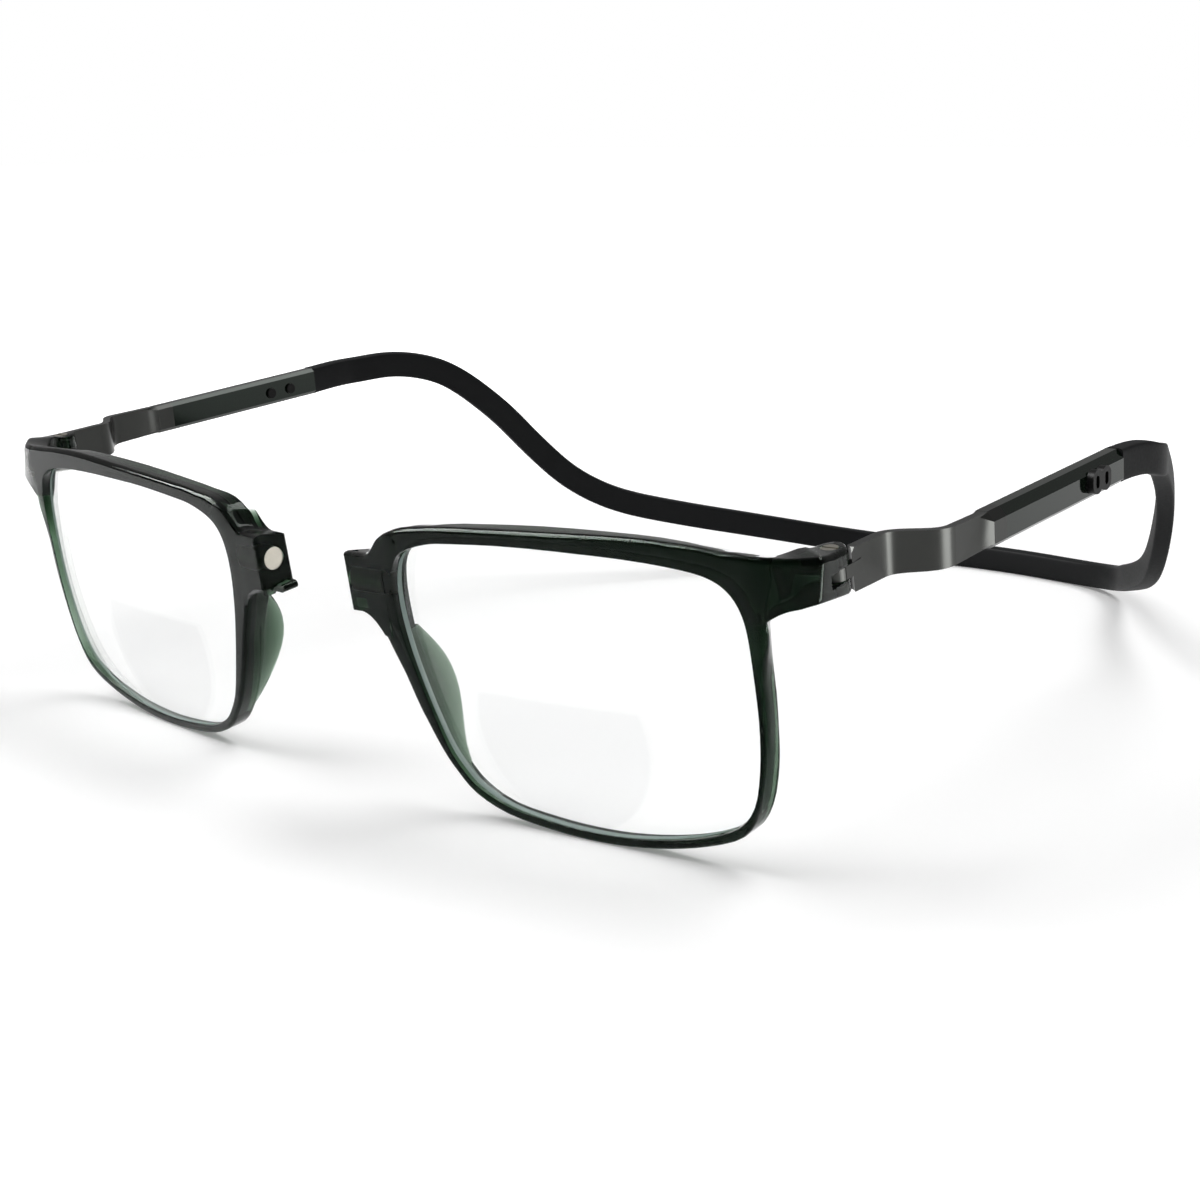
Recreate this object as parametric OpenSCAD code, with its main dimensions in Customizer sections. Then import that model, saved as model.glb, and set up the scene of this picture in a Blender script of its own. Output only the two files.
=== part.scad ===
// Front-closing bifocal glasses: two half fronts that meet at magnets on the nose,
// hinged to temples whose sleeves slide on one band round the back of the head.
// The wearer looks along -Y, the wearer's left is +X, and the glasses stand on Z = 0.

/* [Lens] */
// Width of the opening in the rim
lens_w = 50; // [47:0.5:53]
// Height of the opening in the rim
lens_h = 35.5; // [33:0.5:38]
// Radius of the lens's front surface
lens_r = 160; // [150:5:220]
// Thickness of the lens
lens_t = 1.8; // [1.6:0.1:2]
// Thickness of the lens's edge where it sits in the rim's groove
edge_t = 0.9; // [0.7:0.05:1]
// Depth of the middle of that edge behind the front face, under the middle of the lens
edge_back = 1.1; // [1:0.05:1.3]
// Radius of the round outline of the reading segment
seg_r = 12.8; // [11:0.2:14]
// How far the reading segment's flat top lies above the middle of its round outline
seg_top = 4.6; // [3:0.2:6]
// Height of the middle of the reading segment's outline above the opening's lower edge
seg_up = 12.2; // [11:0.2:13]
// How far the reading segment stands out of the lens
seg_t = 0.2; // [0.1:0.05:0.3]

/* [Rim and brow] */
// Depth of the groove that holds the lens
groove_d = 0.5; // [0.35:0.05:0.55]
// Width of the rim's face under the lens
rim_low = 1.2; // [0.95:0.05:1.5]
// Width of the rim's face on the temple side
rim_side = 2.4; // [2:0.1:2.8]
// Width of the rim's face beside the nose
rim_nose = 2.4; // [2.2:0.1:2.8]
// Height of the brow bar's face over the middle of the lens
brow_h = 1.7; // [1.5:0.1:2.4]
// Depth of the rim from front to back
rim_d = 2.9; // [2.8:0.1:3.6]
// Depth of the brow bar from front to back
brow_d = 3.6; // [3.5:0.1:4.4]
// Rounding of the brow bar's front edge
brow_round = 0.8; // [0.5:0.1:1]
// Radius of the front's bow, seen from above
front_r = 918; // [600:10:2000]

/* [Bridge] */
// Distance from the middle plane to each bridge end while the front is open
half_gap = 7.3; // [6:0.1:10]
// Distance from the bridge end to the opening in the rim
bridge_l = 6.8; // [6.6:0.1:8]
// Height of the bridge end's face
block_h = 7.3; // [6:0.1:7.6]
// Depth of the bridge block
block_d = 4.9; // [4.6:0.1:5.4]
// Fall of the bridge block's top towards the back, per millimetre of depth
block_fall = 0.3; // [0:0.05:0.5]
// Diameter of the bridge magnet
magnet_d = 3; // [2:0.1:3.4]
// Length of the bridge magnet
magnet_l = 5; // [3:0.1:5.2]
// How far the magnet lies below the bridge end's face
magnet_in = 0.15; // [0.05:0.05:0.4]
// How far the locating lip reaches past the bridge end
lip_l = 1.2; // [0.8:0.1:1.6]

/* [Nose pad] */
// How far the nose pad stands out behind the rim
pad_d = 4.3; // [2.5:0.1:5]
// Thickness of the nose pad's free edge
pad_t = 0.8; // [0.6:0.05:1]
// Length of the nose pad along the rim's height
pad_l = 20; // [16:0.5:21]

/* [Hinge] */
// Distance from the opening in the rim to the hinge axis, across
hinge_out = 5.85; // [5.6:0.05:6.6]
// Distance of the hinge axis behind the front
hinge_back = 10.55; // [10:0.05:12]
// Radius of the hinge ears
ear_r = 2; // [1.8:0.05:2.2]
// Height over both hinge ears
ear_h = 5.2; // [4.8:0.05:5.6]
// Thickness of the spring arm's tongue between the ears
tongue_t = 1.5; // [1.2:0.05:1.7]
// Diameter of the hinge screw's shank
screw_d = 1.2; // [1:0.05:1.4]
// Diameter of the hinge screw's head
head_d = 2; // [1.8:0.05:2.2]
// Diameter of the threaded insert in the lower ear
insert_d = 1.9; // [1.7:0.05:2.1]
// Angle by which each half stands open past a straight front
open_angle = 4.4; // [0:0.2:8]
// Angle by which the front leans forward at its top
lean = 9.7; // [6:0.1:12]

/* [Temple] */
// Thickness of the spring arm
arm_t = 1.1; // [0.9:0.05:1.3]
// Height of the spring arm at the hinge
arm_h = 5; // [4.4:0.1:5.4]
// Distance from the hinge axis back to the sleeve
sleeve_back = 23.7; // [22:0.1:28]
// Distance of the sleeve's middle outside the hinge axis
sleeve_out = 6.5; // [5:0.1:7.6]
// Length of the sleeve
sleeve_l = 28.9; // [27:0.1:36]
// Width of the sleeve
sleeve_w = 2.8; // [2.7:0.1:3.4]
// Height of the sleeve
sleeve_h = 4.2; // [4.1:0.1:5]
// Angle at which the temples climb towards the ears
climb = 5.3; // [3:0.1:7]
// Angle by which the temples close in towards the ears
toe = 1.9; // [0.8:0.1:3]

/* [Slide] */
// How far the sleeve can be drawn forward along the band
slide_l = 11; // [6:0.5:11]
// Thickness of the band's tongue inside the sleeve
core_t = 1.3; // [1.1:0.05:1.3]
// Height of the band's tongue inside the sleeve
core_h = 2.6; // [2.3:0.05:2.6]
// Diameter of the two studs of the slide lock
stud_d = 1; // [0.8:0.05:1.1]
// Distance between the two studs
stud_gap = 4; // [3:0.1:4.4]
// Thickness of the slide lock's grip
grip_t = 0.9; // [0.7:0.1:1.3]
// Distance from the slide lock's middle to the sleeve's rear end
lock_back = 7.4; // [6.6:0.1:9]

/* [Headband] */
// Thickness of the band
band_t = 2.6; // [2.2:0.1:3]
// Height of the band
band_h = 4.3; // [4:0.1:5]
// Length from the sleeves' rear ends to the back of the band
band_l = 99; // [85:1:115]

/* [Hidden] */
$fn = 64;
eps = 0.01;
run = 0.05;
seat = 0.02;
green = [0.16, 0.24, 0.19];
gunmetal = [0.36, 0.37, 0.37];
steel = [0.75, 0.74, 0.72];
black = [0.09, 0.1, 0.1];

// Places in the front's own frame: x outward, w backward, v upward
nose_x = half_gap + bridge_l;
side_x = nose_x + lens_w;
low_v = rim_low;
top_v = low_v + lens_h;
mid_x = (nose_x + side_x) / 2;
mid_v = (low_v + top_v) / 2;
hinge_x = side_x + hinge_out;
hinge_v = top_v - 2.8;
ear_top = hinge_v + ear_h / 2 + 0.05;
ear_low = hinge_v - ear_h / 2 + 0.05;
block_v = top_v - 7.1;
slot_h = tongue_t + 2 * run;

// Depth of the bowed front face at a distance from the middle plane
function bow(x) = x * x / (2 * front_r);

// The opening's outline against the clock from the temple side: place across and up as
// shares of the opening, the rim's width and depth there, and the share of the width
// that is left at the back
rim_keys = [
    [1.000, 0.565, rim_side, rim_d - 0.2, 0.5],
    [0.996, 0.748, 1.02 * rim_side, rim_d, 0.5],
    [0.986, 0.840, 1.1 * rim_side, brow_d, 0.62],
    [0.962, 0.905, 2.25 * rim_side, brow_d + 0.1, 0.85],
    [0.920, 0.947, 2.1 * brow_h, brow_d + 0.1, 0.8],
    [0.848, 0.970, 1.74 * brow_h, brow_d, 0.77],
    [0.698, 0.987, 1.52 * brow_h, brow_d, 0.75],
    [0.438, 0.994, 1.14 * brow_h, brow_d, 0.84],
    [0.208, 0.979, 1.18 * brow_h, brow_d + 0.1, 0.74],
    [0.128, 0.965, 1.28 * brow_h, brow_d + 0.2, 0.74],
    [0.058, 0.931, 1.72 * brow_h, brow_d + 0.4, 0.84],
    [0.022, 0.880, 1.3 * rim_nose, brow_d + 0.5, 0.94],
    [0.008, 0.801, 1.25 * rim_nose, brow_d + 0.5, 1],
    [0.010, 0.705, 1.5 * rim_nose, brow_d + 0.3, 1],
    [0.024, 0.593, 1.2 * rim_nose, rim_d + 0.6, 1],
    [0.042, 0.497, 0.96 * rim_nose, rim_d + 0.5, 1],
    [0.070, 0.370, 0.87 * rim_nose, rim_d + 0.5, 1],
    [0.104, 0.235, 0.6 * rim_nose, rim_d + 0.4, 1],
    [0.138, 0.156, 0.5 * rim_nose, rim_d + 0.3, 1],
    [0.184, 0.091, 1.05 * rim_low, rim_d + 0.2, 1],
    [0.268, 0.038, rim_low, rim_d, 1],
    [0.388, 0.011, rim_low, rim_d, 1],
    [0.498, 0.000, rim_low, rim_d, 1],
    [0.608, 0.003, rim_low, rim_d, 1],
    [0.718, 0.022, rim_low, rim_d, 1],
    [0.824, 0.056, rim_low, rim_d, 1],
    [0.914, 0.110, 1.1 * rim_low, rim_d, 1],
    [0.964, 0.195, 0.5 * rim_side, rim_d - 0.1, 0.95],
    [0.988, 0.325, 0.65 * rim_side, rim_d - 0.2, 0.75],
    [0.998, 0.452, 0.9 * rim_side, rim_d - 0.2, 0.5],
];
rim_step = 3;

// A smooth curve through four neighbouring points
function blend(a, b, c, d, t) =
    b + 0.5 * t * ((c - a) + t * ((2 * a - 5 * b + 4 * c - d) + t * (3 * b - a - 3 * c + d)));

// Smooth closed loop through the points of a list
function loop(k, step) =
    let (n = len(k))
    [for (i = [0:n - 1], j = [0:step - 1])
        blend(k[(i + n - 1) % n], k[i], k[(i + 1) % n], k[(i + 2) % n], j / step)];

// Smooth open run through the points of a list
function way(k, step) =
    let (n = len(k), a = 2 * k[0] - k[1], z = 2 * k[n - 1] - k[n - 2], e = concat([a], k, [z]))
    concat(
        [for (i = [1:n - 1], j = [0:step - 1]) blend(e[i - 1], e[i], e[i + 1], e[i + 2], j / step)],
        [k[n - 1]]);

rim = [for (p = loop(rim_keys, rim_step))
    [nose_x + p[0] * lens_w, low_v + p[1] * lens_h, p[2], p[3], p[4]]];
rim_n = len(rim);

// Unit direction out of the opening at a station of the rim
function out_dir(i) =
    let (a = rim[(i + rim_n - 1) % rim_n],
         b = rim[(i + 1) % rim_n],
         d = [b.x - a.x, b.y - a.y])
    [d.y, -d.x] / norm(d);

// A point of the rim: u outward from the opening's edge and d behind the front face
function rim_xv(i, u) = [rim[i].x, rim[i].y] + u * out_dir(i);
function rim_point(i, u, d) = let (q = rim_xv(i, u)) [q.x, bow(q.x) + d, q.y];

// The lens is a part of a ball whose middle lies behind the opening
lens_tilt = atan(mid_x / front_r);
mid_r = lens_r - lens_t / 2;
ball_out = lens_r * sin(lens_tilt);
ball = [mid_x - ball_out,
        bow(mid_x) + edge_back + sqrt(mid_r * mid_r - ball_out * ball_out - lens_h * lens_h / 4), mid_v];

// Depth of the lens's middle surface behind the front face
function lens_at(q) =
    ball.y - sqrt(mid_r * mid_r - pow(q.x - ball.x, 2) - pow(q.y - ball.z, 2)) - bow(q.x);

// Section of the rim at one station: rounded front, rounded back, groove for the lens
function rim_section(i) =
    let (f = rim[i][2],
         d = rim[i][3],
         b = f * rim[i][4],
         ri = 0.2,
         ro = min(brow_round, 0.42 * f),
         rb = min(0.4, 0.35 * b),
         h = edge_t / 2 + run,
         g0 = lens_at(rim_xv(i, 0)),
         g1 = lens_at(rim_xv(i, groove_d)))
    [rim_point(i, 0, ri),
     rim_point(i, 0.3 * ri, 0.3 * ri),
     rim_point(i, ri, 0),
     rim_point(i, f - ro, 0),
     rim_point(i, f - 0.62 * ro, 0.08 * ro),
     rim_point(i, f - 0.3 * ro, 0.3 * ro),
     rim_point(i, f - 0.08 * ro, 0.62 * ro),
     rim_point(i, f, ro),
     rim_point(i, b, d - rb),
     rim_point(i, b - 0.3 * rb, d - 0.3 * rb),
     rim_point(i, b - rb, d),
     rim_point(i, 0.2, d),
     rim_point(i, 0, d - 0.2),
     rim_point(i, 0, g0 + h),
     rim_point(i, groove_d, g1 + h),
     rim_point(i, groove_d, g1 - h),
     rim_point(i, 0, g0 - h)];

// Triangles between the rings of a tube whose rings have m points
function skin(n, m, closed) =
    [for (i = [0:(closed ? n - 1 : n - 2)], j = [0:m - 1])
        let (a = i * m + j,
             b = i * m + (j + 1) % m,
             c = ((i + 1) % n) * m + j,
             d = ((i + 1) % n) * m + (j + 1) % m)
        each [[a, c, b], [b, c, d]]];

// Triangles that close the first and the last ring
function caps(n, m) =
    let (z = (n - 1) * m)
    concat([for (j = [1:m - 2]) [0, j, j + 1]], [for (j = [1:m - 2]) [z, z + j + 1, z + j]]);

module tube(rings, closed = false) {
    n = len(rings);
    m = len(rings[0]);
    polyhedron(
        points = [for (r = rings) each r],
        faces = closed ? skin(n, m, true) : concat(skin(n, m, false), caps(n, m)));
}

// Where a point of the open half lies after it has turned at the hinge and leaned
function turned(p) =
    let (dx = p.x - hinge_x,
         dw = p.y - hinge_back,
         x = hinge_x + dx * cos(open_angle) - dw * sin(open_angle),
         w = hinge_back + dx * sin(open_angle) + dw * cos(open_angle))
    [x, w * cos(lean) - p.z * sin(lean), w * sin(lean) + p.z * cos(lean)];

rim_rings = [for (i = [0:rim_n - 1]) rim_section(i)];
rim_turned = [for (r = rim_rings) each [for (p = r) turned(p)]];
lift = -min([for (p = rim_turned) p.z]);
front_y = min([for (p = rim_turned) p.y]);

// Frame of the temple: its origin on the hinge axis, s backward, t upward
temple_0 = [
    hinge_x,
    hinge_back * cos(lean) - hinge_v * sin(lean),
    hinge_back * sin(lean) + hinge_v * cos(lean) + lift,
];
function temple_point(p) =
    let (y = p.y * cos(climb) - p.z * sin(climb), z = p.y * sin(climb) + p.z * cos(climb))
    temple_0 + [p.x * cos(toe) - y * sin(toe), p.x * sin(toe) + y * cos(toe), z];
sleeve_end = sleeve_back + sleeve_l;
band_0 = temple_point([sleeve_out, sleeve_end + run, 0]);
rear_y = band_0.y + band_l;
shift_y = -(front_y + rear_y + band_t / 2) / 2;

module side(s) {
    mirror([s < 0 ? 1 : 0, 0, 0]) translate([0, shift_y, 0]) children();
}

module on_lean() {
    translate([0, 0, lift]) rotate([lean, 0, 0]) children();
}

module on_front() {
    on_lean()
        translate([hinge_x, hinge_back, 0])
        rotate([0, 0, open_angle])
        translate([-hinge_x, -hinge_back, 0])
        children();
}

module on_temple() {
    translate(temple_0) rotate([climb, 0, toe]) children();
}

// A flat outline in x and v drawn out from depth a to depth b
module through(a, b) {
    translate([0, b, 0]) rotate([90, 0, 0]) linear_extrude(b - a) children();
}

// A flat outline in s and t drawn out across from a to b
module across(a, b) {
    translate([a, 0, 0]) rotate([90, 0, 90]) linear_extrude(b - a) children();
}

// A flat outline in x and t drawn out along the temple from a to b
module along(a, b) {
    translate([0, b, 0]) rotate([90, 0, 0]) linear_extrude(b - a) children();
}

// End piece: a rounded bar that turns back from the brow to the hinge ears
side_face = hinge_x + ear_r;
inner_face = hinge_x - ear_r;
start_x = side_x + 0.75;
start_w = bow(start_x);

// Its route: outer line across and back, inner line across and back as shares of the way
// from the brow to the hinge, then its top and bottom from the top of the opening, its
// slant and the fall of its top towards the back
end_keys = [
    [0.000, -0.001, 0.000, 0.400, 1.12, -7.60, 0.0, 0.30],
    [0.289, 0.042, 0.145, 0.410, 0.96, -5.95, 0.2, 0.24],
    [0.570, 0.132, 0.435, 0.461, 0.72, -5.00, 0.6, 0.12],
    [0.754, 0.215, 0.680, 0.534, 0.60, -4.74, 0.9, 0.04],
    [0.887, 0.298, 0.820, 0.594, 0.55, -4.52, 1.0, 0.00],
    [0.965, 0.352, 0.920, 0.655, 0.52, -4.42, 1.0, 0.00],
    [1.000, 0.425, 0.985, 0.728, 0.45, -4.45, 0.8, 0.00],
    [1.000, 0.690, 1.000, 0.849, 0.10, -4.90, 0.3, 0.00],
    [1.000, 1.000, 1.000, 1.000, ear_top - top_v, ear_low - top_v, 0.0, 0.00],
];
end_slant = 0.28;

// Station of the end piece: outer point, inner point, top, bottom, slant and fall
end_way = [for (k = way(end_keys, 2))
    [[start_x + k[0] * (side_face - start_x), start_w + k[1] * (hinge_back - start_w)],
     [start_x + k[2] * (inner_face - start_x), start_w + k[3] * (hinge_back - start_w)],
     top_v + k[4], top_v + k[5], end_slant * k[6], k[7]]];
end_round = [for (a = [15:15:75])
    let (d = ear_r * [cos(a), sin(a)])
    [[hinge_x + d.x, hinge_back + d.y], [hinge_x - d.x, hinge_back + d.y], ear_top, ear_low, 0, 0]];
end_last = [
    [hinge_x + 0.2 * ear_r, hinge_back + 0.98 * ear_r],
    [hinge_x - 0.2 * ear_r, hinge_back + 0.98 * ear_r],
    ear_top, ear_low, 0, 0,
];
end_stations = concat(end_way, end_round, [end_last]);

function bar_section(s) =
    let (l = norm(s[1] - s[0]),
         e = (s[1] - s[0]) / l,
         k = min(1, l / 3),
         rt = 0.7 * k,
         rb = 0.5 * k,
         ri = 0.4 * k,
         mid = (s[2] + s[3]) / 2,
         back = s[2] - s[5] * l)
    [for (q = [[0.3 * rb, s[3] + 0.3 * rb], [rb, s[3]], [l - ri, s[3]],
               [l - 0.3 * ri, s[3] + 0.3 * ri], [l, s[3] + ri], [l, back - ri],
               [l - 0.3 * ri, back - 0.3 * ri], [l - ri, back], [rt, s[2]],
               [0.62 * rt, s[2] - 0.08 * rt], [0.3 * rt, s[2] - 0.3 * rt],
               [0.08 * rt, s[2] - 0.62 * rt], [0, s[2] - rt], [0, s[3] + rb]])
        [s[0].x + q[0] * e.x, s[0].y + q[0] * e.y + s[4] * (q[1] - mid), q[1]]];

module end_piece() {
    tube([for (s = end_stations) bar_section(s)]);
}

// Nose pad: a fin behind the nasal rim, highest beside the upper third of the nose
pad_low = low_v + 4;
pad_top = pad_low + pad_l;
pad_first = 14 * rim_step - 1;
pad_last = 18 * rim_step;

function pad_section(i) =
    let (f = rim[i][2],
         d = rim[i][3],
         share = max(0, min(1, (rim[i].y - pad_low) / (pad_top - pad_low))),
         w = d - 0.3 + pad_d * sin(180 * pow(share, 1.25)),
         t = pad_t / 2,
         u = 0.35 + 0.2 * f,
         h = f - 0.12)
    [rim_point(i, h, 1),
     rim_point(i, (h + u + t) / 2 + 0.12, (1 + w) / 2),
     rim_point(i, u + t, w - 0.35),
     rim_point(i, u + 0.4 * t, w),
     rim_point(i, u - 0.4 * t, w),
     rim_point(i, u - t, w - 0.35),
     rim_point(i, 0.15, d - 0.25),
     rim_point(i, 0.75, d - 1)];

module nose_pad() {
    tube([for (i = [pad_first:pad_last]) pad_section(i)]);
}

// Bridge block with its scooped step down from the brow
block_low = block_v - block_h / 2;
block_top = block_v + block_h / 2;
block_in = nose_x - 0.75;

// Its face, whose top and bottom can be moved
function block_side(top, low) = [
    [half_gap, low], [half_gap, top], [half_gap + 3, top], [half_gap + 3.6, top + 0.15],
    [half_gap + 4.2, top + 0.55], [half_gap + 4.7, top + 1], [half_gap + 5.2, top + 1.6],
    [half_gap + 5.7, top + 2.2], [half_gap + 6.2, top + 2.65], [half_gap + 6.9, top + 3],
    [half_gap + 7.7, top + 3.3], [half_gap + 8.3, top + 3.4], [nose_x + 2.4, top_v - 1.5],
    [nose_x + 0.5, top_v - 3.4], [block_in, top_v - 5], [block_in, low - 3],
    [half_gap + 4.9, low - 2.8], [half_gap + 4.5, low - 2.1], [half_gap + 3.8, low - 1.2],
    [half_gap + 3.1, low - 0.55], [half_gap + 2.5, low - 0.2], [half_gap + 1.9, low],
];

// The face drawn out backward while its top follows a slope and its bottom stays free
module block_slope(slope, up) {
    multmatrix([[1, 0, 0, 0], [0, 1, 0, 0], [0, slope, 1, 0]])
        through(0, block_d) polygon(block_side(block_top + up, block_low - 3 * block_d));
}

module bridge_block() {
    r = 0.5;
    edge_r = 0.6;
    intersection() {
        through(0, block_d) polygon(block_side(block_top, block_low));
        block_slope(-block_fall, 1.2 * block_fall);
        block_slope(tan(67.5), -edge_r);
        block_slope(tan(22.5), -edge_r * tan(22.5));
        linear_extrude(2 * top_v) union() {
            translate([half_gap + r, r]) circle(r);
            translate([half_gap + r, block_d - r]) circle(r);
            translate([half_gap, r]) square([lens_w / 2, block_d - 2 * r]);
            translate([half_gap + r, eps]) square([lens_w / 2, block_d - eps]);
        }
    }
}

// Locating lip on one bridge end and its notch in the other
lip_h = 1.05;
lip_w = 2.3;
notch_h = 1.2;
lip_0 = [half_gap - lip_l, block_d - 0.4 - lip_w, block_low - 0.85];

module lip() {
    r = lip_h / 2;
    translate(lip_0 + [r, 0, r]) rotate([-90, 0, 0]) cylinder(r = r, h = lip_w);
    translate(lip_0 + [r, 0, 0]) cube([lip_l + 1.5, lip_w, lip_h]);
}

module lip_notch() {
    translate([half_gap - 1, lip_0.y - 0.1, block_low - 1])
        cube([lip_l + 1.6, lip_w + 0.2, 1 + notch_h]);
}

magnet_w = block_d / 2;
head_h = 0.5;
insert_l = 1.1;

module front_half(s) {
    color(green) side(s) on_front() difference() {
        union() {
            tube(rim_rings, true);
            end_piece();
            nose_pad();
            bridge_block();
            if (s < 0) lip();
        }
        if (s > 0) lip_notch();
        translate([half_gap - 1, magnet_w, block_v]) rotate([0, 90, 0])
            cylinder(d = magnet_d + 2 * seat, h = 1 + magnet_in + magnet_l + seat);
        translate([inner_face - 1, hinge_back - ear_r - 1.25, hinge_v - slot_h / 2])
            cube([2 * ear_r + 2, 2 * ear_r + 3, slot_h]);
        translate([hinge_x, hinge_back, ear_low - 1]) cylinder(d = screw_d + 2 * run, h = ear_h + 2);
        translate([hinge_x, hinge_back, ear_top - head_h])
            cylinder(d = head_d + 2 * run, h = head_h + 1);
        translate([hinge_x, hinge_back, ear_low - 1])
            cylinder(d = insert_d + 2 * seat, h = insert_l + 1);
    }
}

module bridge_magnet(s) {
    color(steel) side(s) on_front()
        translate([half_gap + magnet_in, magnet_w, block_v])
        rotate([0, 90, 0]) cylinder(d = magnet_d, h = magnet_l);
}

// Lens: ball-shaped blank cut to the opening, thin edge in the groove, raised reading segment
module shell(r1, r0) {
    translate(ball) difference() {
        sphere(r1, $fn = 240);
        sphere(r0, $fn = 240);
    }
}

module opening(u) {
    polygon([for (i = [0:rim_n - 1]) rim_xv(i, u)]);
}

seg_x = mid_x - 2.1;
seg_v = low_v + seg_up;

module segment_outline() {
    intersection() {
        translate([seg_x, seg_v]) circle(seg_r);
        translate([seg_x - seg_r, seg_v - seg_r]) square([2 * seg_r, seg_r + seg_top]);
        opening(-0.3);
    }
}

module lens(s) {
    color([0.85, 0.9, 0.9, 0.5]) side(s) on_front() union() {
        intersection() {
            shell(lens_r, lens_r - lens_t);
            through(-5, 12) opening(-run);
        }
        intersection() {
            shell(mid_r + edge_t / 2, mid_r - edge_t / 2);
            through(-5, 12) opening(groove_d - 0.1);
        }
        intersection() {
            shell(lens_r + seg_t, lens_r - lens_t / 2);
            through(-5, 12) segment_outline();
        }
    }
}

// Hinge screw with a slotted head and the threaded insert that it ends in
module hinge_screw(s) {
    color(steel) side(s) on_front() translate([hinge_x, hinge_back, 0]) difference() {
        union() {
            translate([0, 0, ear_top - head_h]) cylinder(d = head_d, h = head_h + run);
            translate([0, 0, ear_low]) cylinder(d = screw_d, h = ear_h - head_h + eps);
        }
        translate([-head_d, -0.15, ear_top - 0.2]) cube([2 * head_d, 0.3, 1]);
    }
}

module hinge_insert(s) {
    color(steel) side(s) on_front() translate([hinge_x, hinge_back, ear_low]) difference() {
        cylinder(d = insert_d, h = insert_l);
        translate([0, 0, -1]) cylinder(d = screw_d + 2 * seat, h = insert_l + 2);
    }
}

// Spring arm: a flat strip bent outward between the hinge and the sleeve
arm_x = ear_r - arm_t / 2 - run;
shoulder = 1.1;
shoulder_gap = 0.3;
bend_0 = 7.2;
bend_1 = 14;
ferrule_l = 4.4;
ferrule_0 = sleeve_back - ferrule_l;
tang_l = 6;

function bezier(a, b, c, d, t) =
    pow(1 - t, 3) * a + 3 * pow(1 - t, 2) * t * b + 3 * (1 - t) * t * t * c + pow(t, 3) * d;
bend = [
    [arm_x, bend_0],
    [arm_x, bend_0 + 3.5],
    [sleeve_out, bend_1 - 3.5],
    [sleeve_out, bend_1],
];
arm_line = concat(
    [[arm_x, shoulder]],
    [for (k = [0:16]) bezier(bend[0], bend[1], bend[2], bend[3], k / 16)],
    [[sleeve_out, ferrule_0 + 2]]);
arm_n = len(arm_line);

function arm_dir(i) =
    let (d = arm_line[min(arm_n - 1, i + 1)] - arm_line[max(0, i - 1)]) [d.y, -d.x] / norm(d);

module arm_plan() {
    polygon(concat(
        [for (i = [0:arm_n - 1]) arm_line[i] + arm_t / 2 * arm_dir(i)],
        [for (i = [arm_n - 1:-1:0]) arm_line[i] - arm_t / 2 * arm_dir(i)]));
}

// Section of the sleeve: a bar with a broad bevel above on the outside
bevel_w = 0.9;
bevel_h = 1.1;
bevel_s = 0.5;
module bar_outline(inset = 0) {
    w = sleeve_w / 2 - inset;
    h = sleeve_h / 2 - inset;
    polygon([[w, h - bevel_h], [w - bevel_w, h], [-w + bevel_s, h], [-w, h - bevel_s],
             [-w, -h + bevel_s], [-w + bevel_s, -h], [w - bevel_s, -h], [w, -h + bevel_s]]);
}

core_up = -0.15;

module spring_arm(s) {
    color(gunmetal) side(s) {
        on_lean() difference() {
            translate([hinge_x, hinge_back, hinge_v - tongue_t / 2]) union() {
                cylinder(r = ear_r - 0.1, h = tongue_t);
                translate([arm_x - arm_t / 2, 0, 0]) cube([arm_t, ear_r + 1, tongue_t]);
            }
            translate([hinge_x, hinge_back, hinge_v - tongue_t])
                cylinder(d = screw_d + 2 * run, h = 2 * tongue_t);
        }
        difference() {
            on_temple() intersection() {
                translate([0, 0, -arm_h]) linear_extrude(2 * arm_h) arm_plan();
                across(-1, sleeve_out + arm_t) polygon([
                    [shoulder, arm_h / 2 - 0.5], [shoulder + 0.5, arm_h / 2], [bend_0, arm_h / 2],
                    [bend_1, sleeve_h / 2 + 0.1], [sleeve_back, sleeve_h / 2 - 0.1],
                    [sleeve_back, -sleeve_h / 2 + 0.1], [bend_1, -sleeve_h / 2 - 0.1],
                    [bend_0, -arm_h / 2], [shoulder + 0.5, -arm_h / 2],
                    [shoulder, -arm_h / 2 + 0.5]]);
            }
            on_lean() translate([hinge_x, hinge_back, hinge_v - arm_h])
                cylinder(r = ear_r + shoulder_gap, h = 2 * arm_h);
        }
        on_temple() translate([sleeve_out, 0, 0]) {
            hull() {
                translate([-arm_t / 2, ferrule_0, -sleeve_h / 2 + 0.3])
                    cube([arm_t, 0.1, sleeve_h - 0.6]);
                along(ferrule_0 + 1.6, ferrule_0 + 1.7) bar_outline();
            }
            along(ferrule_0 + 1.65, sleeve_back) bar_outline();
            translate([-core_t / 2, sleeve_back - 1, core_up - core_h / 2])
                cube([core_t, tang_l + 1, core_h]);
        }
    }
}

// Sleeve: bevelled tube over the arm's tang and the band's tongue
lock_s = sleeve_end - lock_back;
stud_up = -0.2;

module temple_sleeve(s) {
    color(green) side(s) on_temple() translate([sleeve_out, 0, 0]) difference() {
        along(sleeve_back, sleeve_end) bar_outline();
        translate([-core_t / 2 - run, sleeve_back - 1, core_up - core_h / 2 - run])
            cube([core_t + 2 * run, sleeve_l + 2, core_h + 2 * run]);
        for (k = [-1, 1]) translate([-sleeve_w, lock_s + k * stud_gap / 2, stud_up]) rotate([0, 90, 0])
            cylinder(d = stud_d + 2 * run, h = 2 * sleeve_w);
    }
}

// Slide lock: two-lobed grip outside, two studs through the sleeve and the band's slot
lobe_r = 1.2;
lobe_h = 3;
lobe_up = 0.3;

module stadium(r, h) {
    union() {
        for (k = [-1, 1]) translate([0, k * (h / 2 - r)]) circle(r);
        square([2 * r, h - 2 * r], center = true);
    }
}

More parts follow.
